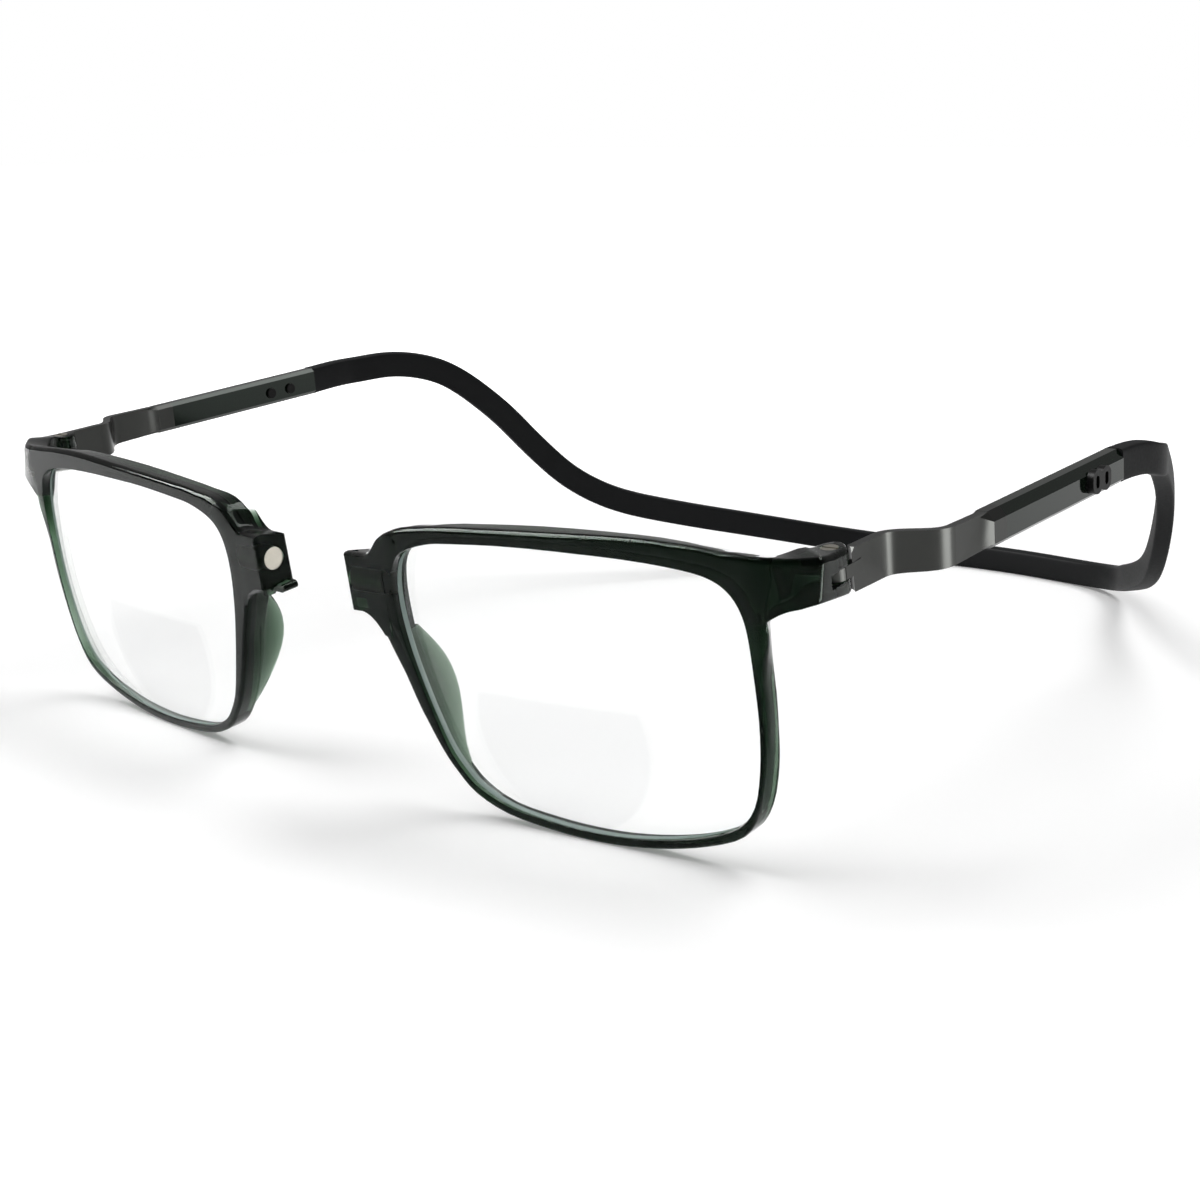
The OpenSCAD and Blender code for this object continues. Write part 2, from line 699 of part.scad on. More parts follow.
module slide_lock(s) {
    face = sleeve_w / 2;
    color(black) side(s) on_temple() translate([sleeve_out, lock_s, stud_up]) {
        difference() {
            across(face, face + grip_t) translate([0, lobe_up]) union() {
                for (k = [-1, 1]) translate([k * (stud_gap / 2 - 0.9), 0]) stadium(lobe_r, lobe_h);
                square([2 * lobe_r, lobe_h - 0.9], center = true);
            }
            for (k = [-1, 1]) across(face + grip_t - 0.4, face + grip_t + 1)
                translate([k * (stud_gap / 2 - 0.85), lobe_up]) stadium(0.42, 1.6);
        }
        for (k = [-1, 1]) translate([0, k * stud_gap / 2, 0]) rotate([0, 90, 0]) {
            translate([0, 0, -face - 0.25]) cylinder(d = stud_d, h = sleeve_w + 0.35);
            translate([0, 0, -face - 0.35]) cylinder(d = stud_d + 0.6, h = 0.3);
        }
    }
}

// Route of the band's middle: shares of the way across, back and up from the back's lowest point
band_keys = [
    [1.000, 0.000, 1.000], [1.008, 0.060, 1.012], [1.014, 0.115, 1.015], [0.984, 0.195, 1.024],
    [0.924, 0.269, 0.966], [0.866, 0.348, 0.788], [0.824, 0.405, 0.612], [0.773, 0.463, 0.444],
    [0.708, 0.536, 0.321], [0.614, 0.634, 0.237], [0.520, 0.739, 0.164], [0.392, 0.895, 0.056],
    [0.266, 0.972, 0.007], [0.080, 0.998, 0.000],
];
band_low = band_h / 2;
band_half = [for (k = way(band_keys, 3))
    [band_0.x * k.x, band_0.y + band_l * k.y, band_low + (band_0.z - band_low) * k.z]];
band_line = concat(band_half, [[0, rear_y, band_low]], [for (i = [len(band_half) - 1:-1:0])
    [-band_half[i].x, band_half[i].y, band_half[i].z]]);
band_n = len(band_line);
temple_dir = temple_point([0, 1, 0]) - temple_0;

// Direction along the band at a station; both ends run straight out of their sleeves
function band_dir(i) =
    i == 0 ? temple_dir :
    i == band_n - 1 ? [temple_dir.x, -temple_dir.y, -temple_dir.z] :
    let (d = band_line[i + 1] - band_line[i - 1]) d / norm(d);

// Section of the band: a rounded strap with its broad side upright
function band_section(i) =
    let (d = band_dir(i),
         n = [d.y, -d.x, 0] / norm([d.y, -d.x]),
         b = cross(n, d),
         a = band_t / 2,
         h = band_h / 2,
         r = 0.5)
    [for (q = [[a - 0.3 * r, -h + 0.3 * r], [a - r, -h], [-a + r, -h],
               [-a + 0.3 * r, -h + 0.3 * r], [-a, -h + r], [-a, h - r],
               [-a + 0.3 * r, h - 0.3 * r], [-a + r, h], [a - r, h],
               [a - 0.3 * r, h - 0.3 * r], [a, h - r], [a, -h + r]])
        band_line[i] + q[0] * n + q[1] * b];

module band_tongue() {
    tip = sleeve_back + tang_l + 0.2;
    on_temple() translate([sleeve_out, 0, 0]) difference() {
        translate([-core_t / 2, tip, core_up - core_h / 2]) cube([core_t, sleeve_end - tip + 1, core_h]);
        across(-sleeve_w, sleeve_w) translate([(2 * lock_s - slide_l) / 2, stud_up])
            rotate(90) stadium(stud_d / 2 + run, stud_gap + slide_l + stud_d + 2 * run);
    }
}

module headband() {
    color(black) {
        translate([0, shift_y, 0]) tube([for (i = [0:band_n - 1]) band_section(i)]);
        for (s = [-1, 1]) side(s) band_tongue();
    }
}

front_half(1);  // front_half_left
front_half(-1);  // front_half_right
lens(1);  // lens_left
lens(-1);  // lens_right
bridge_magnet(1);  // bridge_magnet_left
bridge_magnet(-1);  // bridge_magnet_right
hinge_screw(1);  // hinge_screw_left
hinge_screw(-1);  // hinge_screw_right
hinge_insert(1);  // hinge_insert_left
hinge_insert(-1);  // hinge_insert_right
spring_arm(1);  // spring_arm_left
spring_arm(-1);  // spring_arm_right
temple_sleeve(1);  // temple_sleeve_left
temple_sleeve(-1);  // temple_sleeve_right
slide_lock(1);  // slide_lock_left
slide_lock(-1);  // slide_lock_right
headband();
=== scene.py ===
"""Looks of the front-closing bifocal glasses: camera, studio, finished pieces and materials."""
import math

import bmesh
import bpy
from mathutils import Matrix, Vector

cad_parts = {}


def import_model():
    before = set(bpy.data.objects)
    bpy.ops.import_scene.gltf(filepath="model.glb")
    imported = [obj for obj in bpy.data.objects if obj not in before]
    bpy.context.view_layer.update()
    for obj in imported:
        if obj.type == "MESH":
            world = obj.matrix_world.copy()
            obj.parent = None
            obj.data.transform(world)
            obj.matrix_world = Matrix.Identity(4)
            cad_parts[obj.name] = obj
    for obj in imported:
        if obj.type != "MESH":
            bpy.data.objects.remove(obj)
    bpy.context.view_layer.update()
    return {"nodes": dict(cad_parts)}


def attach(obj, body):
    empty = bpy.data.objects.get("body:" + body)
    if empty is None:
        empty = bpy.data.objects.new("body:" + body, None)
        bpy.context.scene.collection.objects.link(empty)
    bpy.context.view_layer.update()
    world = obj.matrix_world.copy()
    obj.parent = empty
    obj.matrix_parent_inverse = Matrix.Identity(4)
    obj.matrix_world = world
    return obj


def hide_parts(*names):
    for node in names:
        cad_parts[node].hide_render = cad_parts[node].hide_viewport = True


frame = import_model()
NODES = frame["nodes"]
MM = 0.001

# The photograph's camera: place and nearest sight in metres, turns in degrees, lens and sensor
CAMERA_PLACE = Vector((0.20118, -0.25353, 0.08447))
CAMERA_HEADING = 41.737
CAMERA_PITCH = 12.97
CAMERA_ROLL = -1.038
CAMERA_LENS = 64.5
CAMERA_SENSOR = 36
CAMERA_NEAREST = 0.01

# Colours, as linear light. A sheen is the tint of what a surface reflects face on.
GREEN_TINT = (0.97, 0.98, 0.97, 1)
GREEN_ABSORBED = (0.09, 0.29, 0.13, 1)
GREEN_DENSITY = 2450
GREEN_SHEEN = (0.14, 0.19, 0.155, 1)
SLEEVE_GREEN = (0.003, 0.006, 0.0035, 1)
SLEEVE_SHEEN = (0.42, 0.48, 0.44, 1)
LENS_TINT = (0.99, 0.995, 0.992, 1)
# The reading segment's colour is painted shade, a trace greyer than the lens round it.
SEGMENT_PAINTED_SHADE = (0.91, 0.915, 0.915, 1)
LENS_EDGE = (0.3, 0.37, 0.345, 1)
NICKEL = (0.4, 0.38, 0.33, 1)
GUNMETAL = (0.04, 0.041, 0.039, 1)
LOCK_BLACK = (0.005, 0.005, 0.005, 1)
BAND_BLACK = (0.004, 0.0045, 0.005, 1)
FLOOR_PALE = (0.9, 0.9, 0.9, 1)
WHITE = (1, 1, 1, 1)
UNLIT = (0, 0, 0, 1)

# Refraction of the clear plastics, and how little the matte ones reflect
PLASTIC_IOR = 1.5
MATTE_SPECULAR = 0.12

# Brightness of the white surround where it is seen, and of the studio's own soft light
SEEN_WHITE = 1.0
STUDIO_LIGHT = 0.3

# The floor: half its width in metres, and its glow, which is this share of white up to the first
# distance from the object's middle, and full white from the second distance on, in metres
FLOOR_REACH = 3
FLOOR_ROUGHNESS = 0.8
FLOOR_GLOW = 0.18
GLOW_START = 0.1
GLOW_FULL = 0.5

# The open half front in its own frame: across, backward and upward in millimetres, and degrees
HINGE_ACROSS = 69.95
HINGE_BEHIND = 10.55
OPEN_ANGLE = 4.4
LEAN = 9.7
FRONT_SHIFT = -73.8
FRONT_LIFT = 0.171
FRONT_RADIUS = 918
OPENING_CORNER = (14.1, 1.2)
OPENING_SIZE = (50, 35.5)
OPENING_TOP = 36.7
OPENING_STEPS = 3

# The opening's outline against the clock from the temple side, as shares of its size
OPENING = [
    (1.000, 0.565), (0.996, 0.748), (0.986, 0.840), (0.962, 0.905), (0.920, 0.947), (0.848, 0.970),
    (0.698, 0.987), (0.438, 0.994), (0.208, 0.979), (0.128, 0.965), (0.058, 0.931), (0.022, 0.880),
    (0.008, 0.801), (0.010, 0.705), (0.024, 0.593), (0.042, 0.497), (0.070, 0.370), (0.104, 0.235),
    (0.138, 0.156), (0.184, 0.091), (0.268, 0.038), (0.388, 0.011), (0.498, 0.000), (0.608, 0.003),
    (0.718, 0.022), (0.824, 0.056), (0.914, 0.110), (0.964, 0.195), (0.988, 0.325), (0.998, 0.452),
]

# The rim's points lie so far back and across. FAR_OFF stands for the distance of any other point
# from the opening.
RIM_BACK = (0.2, 5)
RIM_ACROSS = 68
FAR_OFF = 9

# The lens groove: how deep behind the rim's face it lies, and how far outside the opening its
# floor and its mouth lie
GROOVE_DEPTH = (0.3, 2.3)
GROOVE_FLOOR = (0.35, 0.65)
GROOVE_MOUTH = 0.08

# The magnet's pocket: its middle, how far across its points and then its closed end lie, between
# which radii its moulded wall lies, and the radius at which the wall lies on the magnet
MAGNET_BEHIND = 2.45
MAGNET_UP = 29.6
POCKET_REACH = 12.6
POCKET_END = 12.42
POCKET_WALL = (1.5, 1.54)
POCKET_TIGHT = 1.49

# The threaded insert's bore round the hinge's axis, likewise
BORE_TOP = 32.6
BORE_WALL = (0.95, 0.99)
BORE_TIGHT = 0.94

# The rim's outer wall on the temple side: how far outside the opening, across and up its points
# lie. It comes in to the first share of its width at its face, and gains the second over the
# slope's depth behind. Over its ends it runs into the moulded wall.
WALL_OUT = 4
WALL_ACROSS = 56
WALL_LOW = 3
WALL_HIGH = 29
WALL_KEPT = 0.44
WALL_GAINED = 0.46
WALL_FACE = 0.8
WALL_SLOPE = 1.5
WALL_ENDS = 5

# The brow's rear top, which falls towards the end piece: from where to where across and how far
# above the opening, over which length and depth the fall grows, and how far it goes
BROW_ACROSS = (50, 65)
BROW_ABOVE = 0.1
BROW_RUN = 11
BROW_DEPTH = 3
BROW_FALL = 0.32

# The lens: middle and radius of its front, and its reading segment's middle, radius, flat top and
# the sharpness of that top's edge, which outline the segment's painted shade
LENS_BALL = Vector((32.29, 159.89, 18.95))
LENS_RADIUS = 160
SEGMENT_MIDDLE = (37, 0.5, 13.4)
SEGMENT_RADIUS = 12.8
SEGMENT_TOP = 4.6
SEGMENT_EDGE = 3

# Points of the lens that lie further out than this from the opening: the lip that sits in the
# groove, its root, and all points of the ground edge. The normal of an edge face points less far
# back than EDGE_TURN.
LENS_LIP = -0.02
LENS_ROOT = -0.08
LENS_GROUND = -0.09
EDGE_TURN = 0.5

# Points of the lens that lie further out than this from its front's ball: the front, and the
# raised reading segment. Levelled points of the front are joined when they lie this close.
LENS_FRONT = -0.01
SEGMENT_RAISED = 0.1
SEGMENT_JOIN = 0.06

# Route of the band behind the left sleeve: where the moulded band runs, as shares of the way from
# the sleeve's end to the back, and how far the flexed band of the photograph lies from it, in
# millimetres. The shifts come from a fit to the photograph, rounded to tenths.
SLEEVE_END = (74.708, -16.501, 40.227)
BAND_BACK = 99
BAND_LOW = 2.15
BAND_ROUTE = [
    ((1.000, 0.000, 1.000), (0, 0, 0)), ((1.008, 0.060, 1.012), (-0.7, 1.1, -0.1)),
    ((1.014, 0.115, 1.015), (-1, 0.4, -1.6)), ((0.984, 0.195, 1.024), (-2, -1.5, -2.9)),
    ((0.924, 0.269, 0.966), (-1.4, -1, -1.9)), ((0.866, 0.348, 0.788), (-0.5, 0.5, -0.2)),
    ((0.824, 0.405, 0.612), (-0.4, 0.9, 0.6)), ((0.773, 0.463, 0.444), (-0.2, 0.5, 0.3)),
    ((0.708, 0.536, 0.321), (-0.2, 0.6, 0.2)), ((0.614, 0.634, 0.237), (-0.2, 0.5, 0.1)),
    ((0.520, 0.739, 0.164), (0, 0, 0)), ((0.392, 0.895, 0.056), (0, 0, 0)),
    ((0.266, 0.972, 0.007), (0, 0, 0)), ((0.080, 0.998, 0.000), (0, 0, 0)),
]
ROUTE_STEPS = 6

# How the band's copy is smoothed: where behind the sleeve's end its strap starts and its tongue
# ends, the stretch that is evened out, how often, and the cosine within which a neighbour lies
# along the band. Triangles that turn less than the two angles make one face, and the faces are
# divided in this many rounds.
STRAP_START = 0.2
TONGUE_END = 0.3
EVEN_STRETCH = (1.5, 60)
EVEN_TIMES = 4
EVEN_ALONG = 0.75
JOIN_FACE_ANGLE = 40
JOIN_SHAPE_ANGLE = 150
BAND_LEVELS = 2

# Points closer than the first are one point, edges shorter than the second go, and gathered points
# closer than the third are joined, in metres. Edges stay sharp from the crease angle on, in
# degrees. The last says how strongly a large face pulls the shading of its neighbours flat.
MERGE = 0.5e-6
SHORTEST = 0.2e-6
GATHERED = 1e-7
CREASE = 32
BAND_CREASE = 70
FLAT_WEIGHT = 80


class Field:
    """A value that varies over a surface: sums and products with it add Math nodes."""

    def __init__(self, graph, socket):
        self.graph = graph
        self.socket = socket

    def combine(self, operation, first, second):
        return self.graph.node("ShaderNodeMath", {"operation": operation}, {0: first, 1: second})

    def __add__(self, other):
        return self.combine("ADD", self, other)

    __radd__ = __add__

    def __mul__(self, other):
        return self.combine("MULTIPLY", self, other)

    __rmul__ = __mul__

    def __sub__(self, other):
        return self.combine("SUBTRACT", self, other)

    def __rsub__(self, other):
        return self.combine("SUBTRACT", other, self)

    def greatest(self, other):
        return self.combine("MAXIMUM", self, other)

    def limited(self):
        """The value held between 0 and 1."""
        return self.graph.node("ShaderNodeClamp", {}, {"Value": self})


class Graph:
    """The nodes of a material or of the world."""

    def __init__(self, tree):
        self.tree = tree

    def node(self, kind, settings, sockets, result=0):
        """Adds one node: its settings first, then the values or links of its sockets."""
        made = self.tree.nodes.new(kind)
        for name, value in settings.items():
            setattr(made, name, value)
        for name, value in sockets.items():
            self.link(value, made.inputs[name])
        return Field(self, made.outputs[result])

    def link(self, value, socket):
        if isinstance(value, Field):
            self.tree.links.new(value.socket, socket)
        else:
            socket.default_value = value

    def ray(self, kind):
        """1 where a ray of this kind arrives."""
        return self.node("ShaderNodeLightPath", {}, {}, f"Is {kind} Ray")


class Paint(Graph):
    """One material: a Principled shader and the nodes that feed it."""

    def __init__(self, name, **constants):
        self.material = bpy.data.materials.new(name)
        self.material.use_nodes = True
        super().__init__(self.material.node_tree)
        self.shader = self.tree.nodes["Principled BSDF"]
        for socket, value in constants.items():
            self.feed(socket.replace("_", " "), value)

    def feed(self, name, value):
        self.link(value, self.shader.inputs[name])

    def place(self):
        """Where a point lies on the piece, in metres."""
        return self.node("ShaderNodeTexCoord", {}, {}, "Object")

    def noise(self, cells, detail):
        """Cloudy noise from 0 to 1, with so many cells to the metre."""
        return self.node("ShaderNodeTexNoise", {},
                         {"Vector": self.place(), "Scale": cells, "Detail": detail}, "Fac")

    def blend(self, share, first, second):
        """A colour between two others."""
        return self.node("ShaderNodeMix", {"data_type": "RGBA"}, {0: share, 6: first, 7: second}, 2)

    def roughen(self, grain, rough, rougher):
        """As rough as rough, and up to rougher more where the grain is high."""
        self.feed("Roughness", rough + grain * rougher)

    def bump(self, height, distance):
        """Raises the surface by height, where 1 is the distance in metres."""
        self.feed("Normal", self.node("ShaderNodeBump", {},
                                      {"Height": height, "Distance": distance}, "Normal"))


def scaled(colour, share):
    """A colour made darker or lighter by a share."""
    return (colour[0] * share, colour[1] * share, colour[2] * share, 1)


def moulded_green():
    """Polished see-through green plastic, darker the more of it the light passes."""
    paint = Paint("moulded green", Base_Color=GREEN_TINT, Transmission_Weight=1, IOR=PLASTIC_IOR,
                  Specular_Tint=GREEN_SHEEN)
    paint.roughen(paint.noise(cells=300, detail=1), rough=0.02, rougher=0.03)
    absorb = paint.node("ShaderNodeVolumeAbsorption", {},
                        {"Color": GREEN_ABSORBED, "Density": GREEN_DENSITY})
    paint.link(absorb, paint.tree.nodes["Material Output"].inputs["Volume"])
    return paint.material


def clear_lens(hand):
    """Clear polished lens whose reading segment is painted a trace greyer: painted shade in place
    of the look of the segment's levelled step.
    """
    turn = front_place(hand)
    middle = turn @ Vector(SEGMENT_MIDDLE)
    paint = Paint("clear lens " + hand, Transmission_Weight=1, IOR=PLASTIC_IOR, Roughness=0)
    from_middle = paint.node("ShaderNodeVectorMath", {"operation": "SUBTRACT"},
                             {0: paint.place(), 1: middle * MM}, "Vector")
    along = []
    for axis in (Vector((1, 0, 0)), Vector((0, 0, 1))):
        shared = turn.to_3x3() @ axis
        along.append(paint.node("ShaderNodeVectorMath", {"operation": "DOT_PRODUCT"},
                                {0: from_middle, 1: shared / MM}, "Value"))
    across, up = along
    from_edge = SEGMENT_RADIUS ** 2 - (across * across + up * up)
    inside = (from_edge * (1 / SEGMENT_RADIUS)).limited()
    below = ((SEGMENT_TOP - up) * SEGMENT_EDGE).limited()
    # Painted shade: inside the segment's outline the lens colour turns a trace greyer.
    paint.feed("Base Color", paint.blend(inside * below, LENS_TINT, SEGMENT_PAINTED_SHADE))
    return paint.material


def opaque(name, colour, rough, rougher, cells, detail, dark=1, light=1, grain=None, relief=0,
           **constants):
    """An opaque finish, cloudy between a dark and a light share of its colour. Its grain is the
    clouds themselves unless it has its own cells and detail, and its relief is in millimetres."""
    paint = Paint(name, **constants)
    cloud = paint.noise(cells, detail)
    fine = paint.noise(*grain) if grain else cloud
    paint.feed("Base Color", paint.blend(cloud, scaled(colour, dark), scaled(colour, light)))
    paint.roughen(fine, rough, rougher)
    if relief:
        paint.bump(fine, relief * MM)
    return paint.material


def sleeve_green():
    """The same green plastic where it is too thick to see through."""
    return opaque("sleeve green", SLEEVE_GREEN, rough=0.06, rougher=0.04, cells=120, detail=2,
                  dark=0.8, light=1.2, Specular_Tint=SLEEVE_SHEEN)


def ground_edge():
    """The lens's ground edge, seen from inside the rim."""
    return opaque("ground lens edge", LENS_EDGE, rough=0.6, rougher=0.2, cells=900, detail=2,
                  Specular_IOR_Level=0)


def nickel(name, cells):
    """Nickel-plated steel with a fine cloudy grain."""
    return opaque(name, NICKEL, rough=0.24, rougher=0.16, cells=cells, detail=3, dark=0.85,
                  relief=0.01, Metallic=1)


def gunmetal():
    """Dark plated spring metal with a soft gloss."""
    return opaque("gunmetal", GUNMETAL, rough=0.28, rougher=0.05, cells=200, detail=2, dark=0.9,
                  light=1.1, Metallic=1)


def satin_black():
    """Black moulded plastic of the slide lock."""
    return opaque("satin black", LOCK_BLACK, rough=0.3, rougher=0.16, cells=3000, detail=2,
                  relief=0.012, Specular_IOR_Level=MATTE_SPECULAR)


def matte_band():
    """Matte black flexible band."""
    return opaque("matte band", BAND_BLACK, rough=0.5, rougher=0.15, cells=150, detail=2,
                  dark=0.8, light=1.3, grain=(2500, 3), relief=0.01,
                  Specular_IOR_Level=MATTE_SPECULAR)


def front_place(hand):
    """From an open half front's own frame to the shared frame, both in millimetres."""
    hinge = Matrix.Translation((HINGE_ACROSS, HINGE_BEHIND, 0))
    opened = hinge @ Matrix.Rotation(math.radians(OPEN_ANGLE), 4, "Z") @ hinge.inverted()
    leaned = Matrix.Rotation(math.radians(LEAN), 4, "X")
    moved = Matrix.Translation((0, FRONT_SHIFT, FRONT_LIFT))
    mirrored = Matrix.Diagonal((1 if hand == "left" else -1, 1, 1, 1))
    return mirrored @ moved @ leaned @ opened


def curve(before, start, end, after, share):
    """A value between start and end, on the Catmull-Rom curve through all four."""
    return start + 0.5 * share * (end - before + share * (
        2 * before - 5 * start + 4 * end - after + share * (3 * (start - end) + after - before)))


def share_of(value, start, length):
    """How much of a stretch lies before a value, from 0 to 1."""
    return max(0, min(1, (value - start) / length))


def opening_outline():
    """The outline of the opening in the rim, in the half front's own frame."""
    count = len(OPENING)
    points = []
    for i in range(count):
        four = [OPENING[(i + k) % count] for k in (-1, 0, 1, 2)]
        for step in range(OPENING_STEPS):
            smooth = [curve(*(p[k] for p in four), step / OPENING_STEPS) for k in (0, 1)]
            points.append(Vector([OPENING_CORNER[k] + OPENING_SIZE[k] * smooth[k] for k in (0, 1)]))
    return points


def outside(outline, point):
    """How far a point lies outside the outline; less than 0 inside it."""
    flat = Vector((point.x, point.z))
    best = None
    for i, start in enumerate(outline):
        way = outline[(i + 1) % len(outline)] - start
        share = share_of((flat - start).dot(way), 0, way.length_squared)
        gap = flat - start - share * way
        if best is None or gap.length < abs(best):
            best = math.copysign(gap.length, gap.dot(Vector((way.y, -way.x))))
    return best


def gather(shape, loose, firm):
    """Moves each loose point onto the nearest firm one and joins them."""
    for vert in loose:
        vert.co = min(firm, key=lambda other: (other.co - vert.co).length_squared).co
    bmesh.ops.remove_doubles(shape, verts=loose + firm, dist=GATHERED)


def fit_metal(at):
    """Lays a point of the magnet's pocket or of the insert's bore on the metal that it holds."""
    pocket = Vector((at.y - MAGNET_BEHIND, at.z - MAGNET_UP))
    if at.x < POCKET_REACH and POCKET_WALL[0] < pocket.length < POCKET_WALL[1]:
        pocket *= POCKET_TIGHT / pocket.length
        return Vector((min(at.x, POCKET_END), MAGNET_BEHIND + pocket.x, MAGNET_UP + pocket.y))
    bore = Vector((at.x - HINGE_ACROSS, at.y - HINGE_BEHIND))
    if at.z < BORE_TOP and BORE_WALL[0] < bore.length < BORE_WALL[1]:
        bore *= BORE_TIGHT / bore.length
        return Vector((HINGE_ACROSS + bore.x, HINGE_BEHIND + bore.y, at.z))
    return at


def slope_wall(at, out, depth):
    """Moves a point of the rim's outer wall on the temple side towards the opening."""
    if 0 < out < WALL_OUT and at.x > WALL_ACROSS and WALL_LOW < at.z < WALL_HIGH:
        kept = WALL_KEPT + WALL_GAINED * share_of(depth, WALL_FACE, WALL_SLOPE)
        inner = min(1, (at.z - WALL_LOW) / WALL_ENDS, (WALL_HIGH - at.z) / WALL_ENDS)
        return at - Vector((out * (1 - kept) * inner, 0, 0))
    return at


def lower_brow(at, depth):
    """Lowers a point of the brow's rear top towards the end piece."""
    if BROW_ACROSS[0] < at.x < BROW_ACROSS[1] and at.z > OPENING_TOP + BROW_ABOVE:
        share = share_of(at.x, BROW_ACROSS[0], BROW_RUN)
        behind = share_of(depth, 0, BROW_DEPTH)
        return at - Vector((0, 0, BROW_FALL * behind * share * share * (3 - 2 * share)))
    return at


def mend_front(shape, hand):
    """Closes the lens groove, and moves the points of the pocket, the bore, the outer wall and the
    brow."""
    turn = front_place(hand)
    back = turn.inverted()
    outline = opening_outline()
    groove = []
    mouth = []
    for vert in shape.verts:
        at = back @ (vert.co / MM)
        depth = at.y - at.x ** 2 / (2 * FRONT_RADIUS)
        in_rim = RIM_BACK[0] < at.y < RIM_BACK[1] and at.x < RIM_ACROSS
        out = outside(outline, at) if in_rim else FAR_OFF
        if GROOVE_DEPTH[0] < depth < GROOVE_DEPTH[1]:
            if GROOVE_FLOOR[0] < out < GROOVE_FLOOR[1]:
                groove.append(vert)
            elif abs(out) < GROOVE_MOUTH:
                mouth.append(vert)
        moved = lower_brow(slope_wall(fit_metal(at), out, depth), depth)
        if moved is not at:
            vert.co = turn @ moved * MM
    gather(shape, groove, mouth)


def mend_lens(shape, hand):
    """Trims the lens to the opening, and levels its reading segment's step."""
    turn = front_place(hand)
    back = turn.inverted()
    outline = opening_outline()
    lip = []
    root = []
    front = []
    for vert in shape.verts:
        at = back @ (vert.co / MM)
        out = outside(outline, at)
        if out > LENS_LIP:
            lip.append(vert)
        elif out > LENS_ROOT:
            root.append(vert)
        ray = at - LENS_BALL
        if ray.length > LENS_RADIUS + LENS_FRONT:
            front.append(vert)
        if ray.length > LENS_RADIUS + SEGMENT_RAISED:
            vert.co = turn @ (LENS_BALL + ray * (LENS_RADIUS / ray.length)) * MM
    bmesh.ops.remove_doubles(shape, verts=front, dist=SEGMENT_JOIN * MM)
    gather(shape, [vert for vert in lip if vert.is_valid], [vert for vert in root if vert.is_valid])
    shape.normal_update()
    for face in shape.faces:
        normal = back.to_3x3() @ face.normal
        if abs(normal.y) < EDGE_TURN and all(
                outside(outline, back @ (vert.co / MM)) > LENS_GROUND for vert in face.verts):
            face.material_index = 1


def nearest_on(route, point, stations):
    """The station of a route that a point lies nearest to."""
    return min(stations, key=lambda i: (route[i][0] - point).length_squared)


def even_out(verts, route):
    """Smooths a strap along its length only, so that its section keeps its size. Each time, a point
    moves half way to the middle between the one ahead and the one behind."""
    beside = {}
    for vert in verts:
        near = nearest_on(route, vert.co, range(1, len(route) - 1))
        way = (route[near + 1][0] - route[near - 1][0]).normalized()
        steps = [edge.other_vert(vert) for edge in vert.link_edges]
        ahead = [v for v in steps if (v.co - vert.co).normalized().dot(way) > EVEN_ALONG]
        behind = [v for v in steps if (v.co - vert.co).normalized().dot(way) < -EVEN_ALONG]
        if ahead and behind:
            beside[vert] = (min(ahead, key=lambda v: (v.co - vert.co).length),
                            min(behind, key=lambda v: (v.co - vert.co).length))
    for turn in range(EVEN_TIMES):
        moved = {vert: 0.5 * vert.co + 0.25 * (a.co + b.co) for vert, (a, b) in beside.items()}
        for vert, place in moved.items():
            vert.co = place


def band_route():
    """Points of the moulded band's route, each with its shift to the flexed band, in metres."""
    place = [[SLEEVE_END[0] * key[0], SLEEVE_END[1] + BAND_BACK * key[1],
              BAND_LOW + (SLEEVE_END[2] - BAND_LOW) * key[2], *shift] for key, shift in BAND_ROUTE]
    last = len(place) - 1
    route = []
    for i in range(last):
        four = [place[max(0, min(last, i + k))] for k in (-1, 0, 1, 2)]
        for step in range(ROUTE_STEPS):
            point = [curve(*(row[k] for row in four), step / ROUTE_STEPS) for k in range(6)]
            route.append((Vector(point[:3]) * MM, Vector(point[3:]) * MM))
    return route


def flex_band(shape, hand):
    """Lays the band's left side where the flexed band of the photograph runs."""
    route = band_route()
    for vert in shape.verts:
        if vert.co.x > 0 and vert.co.y > SLEEVE_END[1] * MM:
            near = nearest_on(route, vert.co, range(len(route)))
            start, shift = route[near]
            beside = [k for k in (near - 1, near + 1) if 0 <= k < len(route)]
            other = nearest_on(route, vert.co, beside)
            way = route[other][0] - start
            share = share_of((vert.co - start).dot(way), 0, way.length_squared)
            vert.co += shift.lerp(route[other][1], share)
    strap = [face for face in shape.faces
             if face.calc_center_median().y > (SLEEVE_END[1] + STRAP_START) * MM]
    bmesh.ops.join_triangles(shape, faces=strap,
                             angle_face_threshold=math.radians(JOIN_FACE_ANGLE),
                             angle_shape_threshold=math.radians(JOIN_SHAPE_ANGLE))
    even_out([vert for vert in shape.verts if vert.co.x > 0
              and EVEN_STRETCH[0] < vert.co.y / MM - SLEEVE_END[1] < EVEN_STRETCH[1]], route)
    firm = shape.edges.layers.float.new("crease_edge")
    for edge in shape.edges:
        if all(vert.co.y < (SLEEVE_END[1] + TONGUE_END) * MM for vert in edge.verts):
            edge[firm] = 1


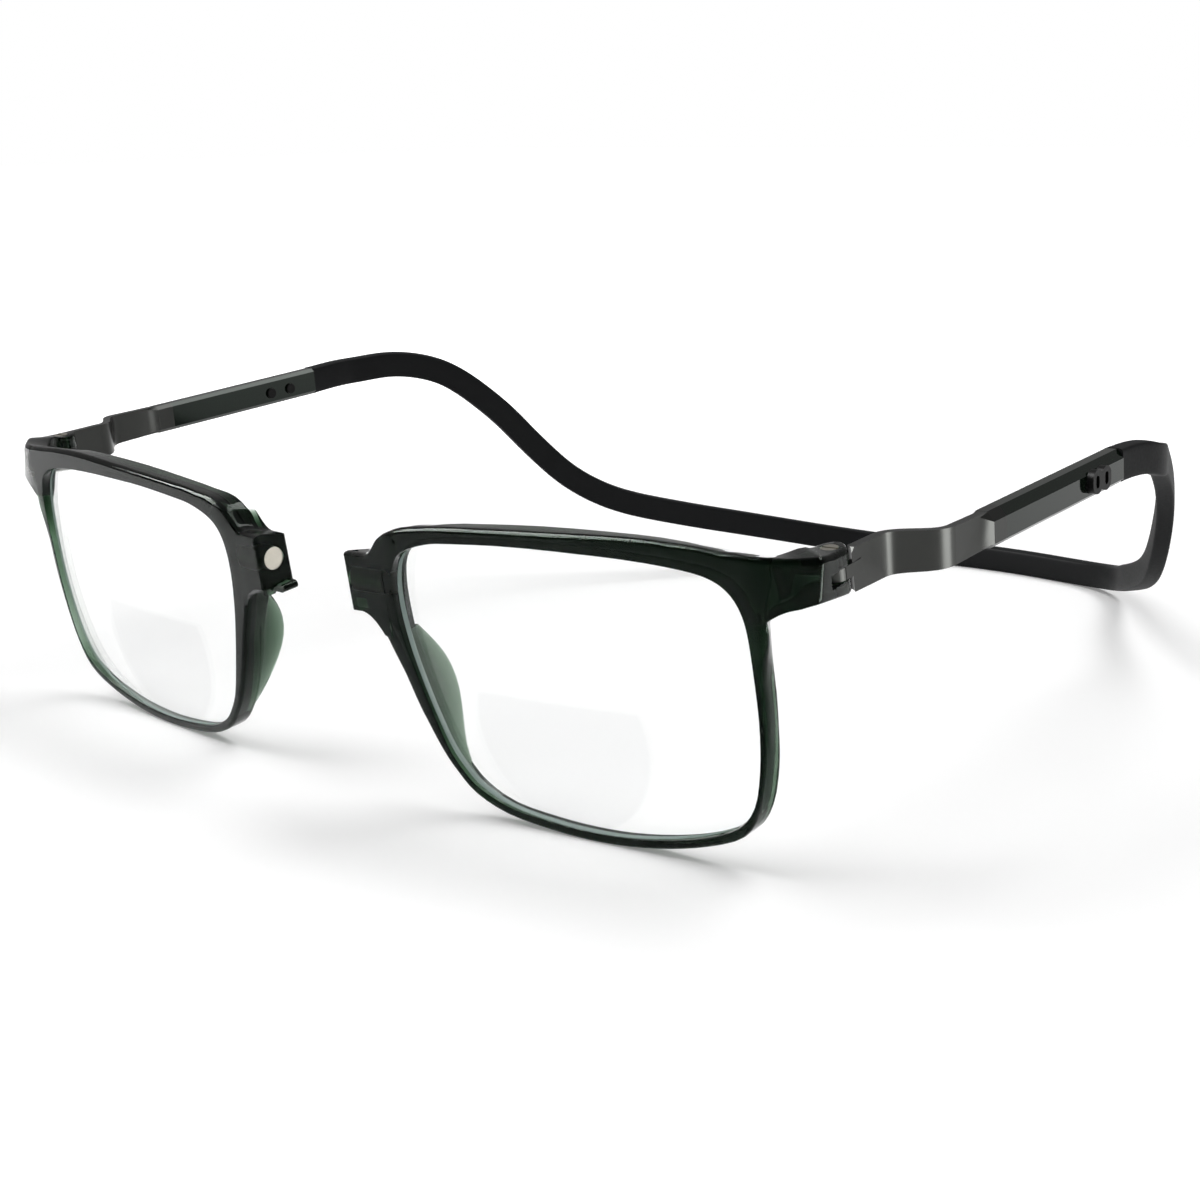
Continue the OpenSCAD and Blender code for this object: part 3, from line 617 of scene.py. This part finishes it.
def finished(name, node, body, materials, hand="", mend=None, crease=CREASE):
    """A merged copy of a CAD node, smooth up to the crease angle, that stands for it."""
    mesh = bpy.data.meshes.new(name)
    shape = bmesh.new()
    shape.from_mesh(NODES[node].data)
    bmesh.ops.remove_doubles(shape, verts=shape.verts, dist=MERGE)
    if mend:
        mend(shape, hand)
    bmesh.ops.dissolve_degenerate(shape, edges=shape.edges, dist=SHORTEST)
    for face in shape.faces:
        face.smooth = True
    for edge in shape.edges:
        edge.smooth = edge.is_manifold and edge.calc_face_angle(math.pi) < math.radians(crease)
    shape.to_mesh(mesh)
    shape.free()
    piece = bpy.data.objects.new(name, mesh)
    bpy.context.scene.collection.objects.link(piece)
    for material in materials:
        piece.data.materials.append(material)
    if mend is flex_band:
        smooth = piece.modifiers.new("smooth", "SUBSURF")
        smooth.levels = BAND_LEVELS
        smooth.render_levels = BAND_LEVELS
    else:
        flat = piece.modifiers.new("flat faces", "WEIGHTED_NORMAL")
        flat.keep_sharp = True
        flat.weight = FLAT_WEIGHT
    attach(piece, body)
    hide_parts(node)


def camera():
    """The camera at the photograph's viewing angle."""
    heading = math.radians(CAMERA_HEADING)
    pitch = math.radians(CAMERA_PITCH)
    roll = math.radians(CAMERA_ROLL)
    forward = Vector((-math.sin(heading) * math.cos(pitch), math.cos(heading) * math.cos(pitch),
                      -math.sin(pitch)))
    right = Vector((math.cos(heading), math.sin(heading), 0))
    up = right.cross(forward)
    right, up = (right * math.cos(roll) + up * math.sin(roll),
                 up * math.cos(roll) - right * math.sin(roll))
    data = bpy.data.cameras.new("camera")
    data.lens = CAMERA_LENS
    data.sensor_width = CAMERA_SENSOR
    data.sensor_fit = "HORIZONTAL"
    data.clip_start = CAMERA_NEAREST
    eye = bpy.data.objects.new("camera", data)
    turn = Matrix((right, up, -forward)).transposed()
    eye.matrix_world = Matrix.Translation(CAMERA_PLACE) @ turn.to_4x4()
    bpy.context.scene.collection.objects.link(eye)
    bpy.context.scene.camera = eye


def floor():
    """A wide pale floor that keeps the object's shadow and glows white further out."""
    mesh = bpy.data.meshes.new("floor")
    shape = bmesh.new()
    bmesh.ops.create_grid(shape, x_segments=1, y_segments=1, size=FLOOR_REACH)
    shape.to_mesh(mesh)
    shape.free()
    piece = bpy.data.objects.new("floor", mesh)
    bpy.context.scene.collection.objects.link(piece)
    paint = Paint("floor", Base_Color=FLOOR_PALE, Roughness=FLOOR_ROUGHNESS, Emission_Strength=1,
                  Specular_IOR_Level=0)
    seen = paint.ray("Camera").greatest(paint.ray("Glossy")).greatest(paint.ray("Transmission"))
    away = paint.node("ShaderNodeVectorMath", {"operation": "LENGTH"}, {0: paint.place()}, "Value")
    far = (away - GLOW_START) * (1 / (GLOW_FULL - GLOW_START))
    glow = paint.blend(far, scaled(WHITE, FLOOR_GLOW), WHITE)
    paint.feed("Emission Color", paint.blend(seen, UNLIT, glow))
    piece.data.materials.append(paint.material)


def world():
    """An even white surround: full white where it is seen, plain light elsewhere."""
    studio = bpy.data.worlds.new("studio")
    bpy.context.scene.world = studio
    studio.use_nodes = True
    graph = Graph(studio.node_tree)
    seen = graph.ray("Camera").greatest(graph.ray("Transmission"))
    level = graph.node("ShaderNodeMapRange", {},
                       {"Value": seen, "To Min": STUDIO_LIGHT, "To Max": SEEN_WHITE})
    light = graph.tree.nodes["Background"]
    graph.link(WHITE, light.inputs["Color"])
    graph.link(level, light.inputs["Strength"])


def softbox(name, place, aim, width, height, power, sheen_only=False):
    """A rectangular lamp that points at a spot, or a card that only shows in reflections."""
    data = bpy.data.lights.new(name, "AREA")
    data.shape = "RECTANGLE"
    data.size = width
    data.size_y = height
    data.energy = power
    lamp = bpy.data.objects.new(name, data)
    lamp.location = place
    lamp.rotation_euler = (Vector(place) - Vector(aim)).to_track_quat("Z", "Y").to_euler()
    if sheen_only:
        lamp.visible_diffuse = False
        lamp.visible_camera = False
        lamp.visible_transmission = False
    bpy.context.scene.collection.objects.link(lamp)


camera()
world()
floor()
softbox("key", place=(-0.35, -0.35, 0.8), aim=(0, 0, 0), width=0.5, height=0.5, power=3.2)
softbox("top", place=(0.15, 0.3, 0.8), aim=(0, 0, 0), width=0.6, height=0.3, power=3.2)
softbox("arm card", place=(0.165, -0.033, 0.015), aim=(0.071, -0.06, 0.035), width=0.06,
        height=0.028, power=0.06, sheen_only=True)
softbox("brow card", place=(-0.47, -0.45, 0.55), aim=(0, -0.07, 0.03), width=0.55, height=0.55,
        power=14, sheen_only=True)

frame_green = moulded_green()
sleeve_plastic = sleeve_green()
lens_edge = ground_edge()
magnet_nickel = nickel("magnet nickel", cells=2500)
screw_steel = nickel("screw steel", cells=6000)
arm_metal = gunmetal()
lock_black = satin_black()
band_black = matte_band()

for hand in ("left", "right"):
    front = "front_" + hand
    temple = "temple_" + hand
    finished("half_front_" + hand, "front_half_" + hand, front, [frame_green], hand, mend_front)
    finished("bifocal_lens_" + hand, "lens_" + hand, front, [clear_lens(hand), lens_edge], hand,
             mend_lens)
    finished("magnet_" + hand, "bridge_magnet_" + hand, front, [magnet_nickel])
    finished("screw_" + hand, "hinge_screw_" + hand, front, [screw_steel])
    finished("insert_" + hand, "hinge_insert_" + hand, front, [screw_steel])
    finished("arm_" + hand, "spring_arm_" + hand, temple, [arm_metal])
    finished("sleeve_" + hand, "temple_sleeve_" + hand, temple, [sleeve_plastic])
    finished("lock_" + hand, "slide_lock_" + hand, temple, [lock_black])
finished("band", "headband", "headband", [band_black], "left", flex_band, BAND_CREASE)

bpy.context.scene.view_settings.view_transform = "Standard"
